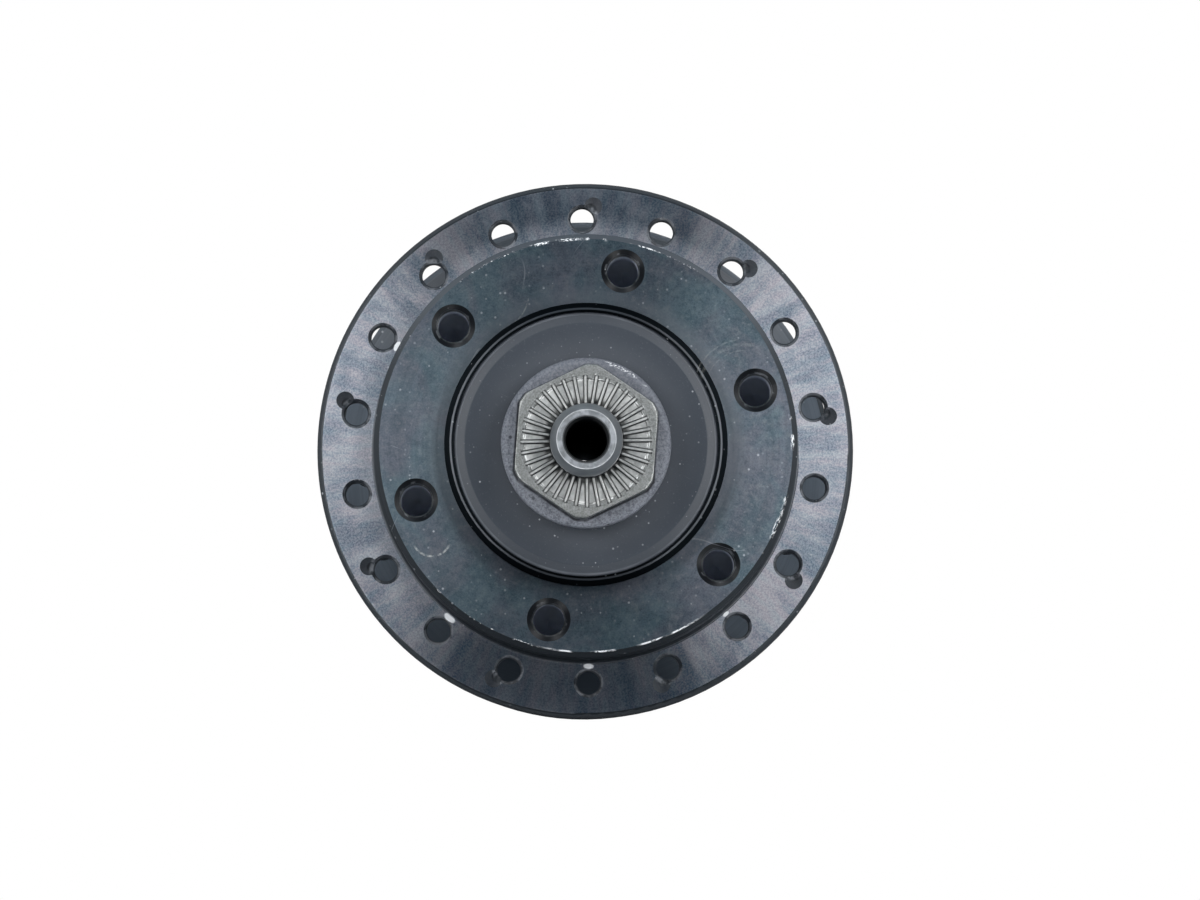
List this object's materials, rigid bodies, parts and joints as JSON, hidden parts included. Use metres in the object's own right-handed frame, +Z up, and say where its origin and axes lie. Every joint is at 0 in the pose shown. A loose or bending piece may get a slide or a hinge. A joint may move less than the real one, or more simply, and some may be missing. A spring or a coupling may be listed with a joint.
{
  "type": "bicycle front hub",
  "caption": "Front bicycle hub with drilled spoke flanges, a disc rotor mount and cup-and-cone bearings on a hollow axle with serrated locknuts.",
  "frame": {"origin": "on the axle, halfway between the outer faces of the locknuts", "axes": "Y is the axle, -Y towards the brake rotor's side; +Z is up and +X to the right as seen from that side"},
  "size_m": [0.067, 0.108, 0.067],
  "materials": {
    "black_anodised": "turned, black anodised, satin",
    "axle_steel": "turned, dark, satin",
    "plated_steel": "plated, satin, grey-green",
    "bearing_steel": "hardened, ground",
    "ball_steel": "polished",
    "boot_rubber": "matte, pitted",
    "seal_rubber": "matte",
    "cap_plastic": "matte, dusty"
  },
  "bodies": {
    "axle_set": {"axle": "axle_steel", "locknut_left": "plated_steel", "spacer_left": "plated_steel", "boot_left": "boot_rubber", "lock_washer_left": "plated_steel", "cone_left": "bearing_steel", "locknut_right": "plated_steel", "spacer_right": "plated_steel", "boot_right": "boot_rubber", "lock_washer_right": "plated_steel", "cone_right": "bearing_steel"},
    "hub": {"hub_shell": "black_anodised", "cup_left": "bearing_steel", "dust_cap_left": "cap_plastic", "seal_left": "seal_rubber", "cup_right": "bearing_steel", "dust_cap_right": "cap_plastic", "seal_right": "seal_rubber"},
    "balls_left": {"balls_left": "ball_steel"},
    "balls_right": {"balls_right": "ball_steel"}
  },
  "joints": [
    {"name": "hub_spin", "type": "hinge", "parent": "axle_set", "child": "hub", "pos_m": [0, 0, 0], "axis": [0, 1, 0], "continuous": true},
    {"name": "balls_left_round", "type": "hinge", "parent": "axle_set", "child": "balls_left", "pos_m": [0, -0.0326, 0], "axis": [0, 1, 0], "continuous": true},
    {"name": "balls_right_round", "type": "hinge", "parent": "axle_set", "child": "balls_right", "pos_m": [0, 0.0326, 0], "axis": [0, 1, 0], "continuous": true}
  ],
  "couplings": [
    {"joint": "balls_left_round", "follows": "hub_spin", "ratio": 0.6027},
    {"joint": "balls_right_round", "follows": "hub_spin", "ratio": 0.6027}
  ]
}
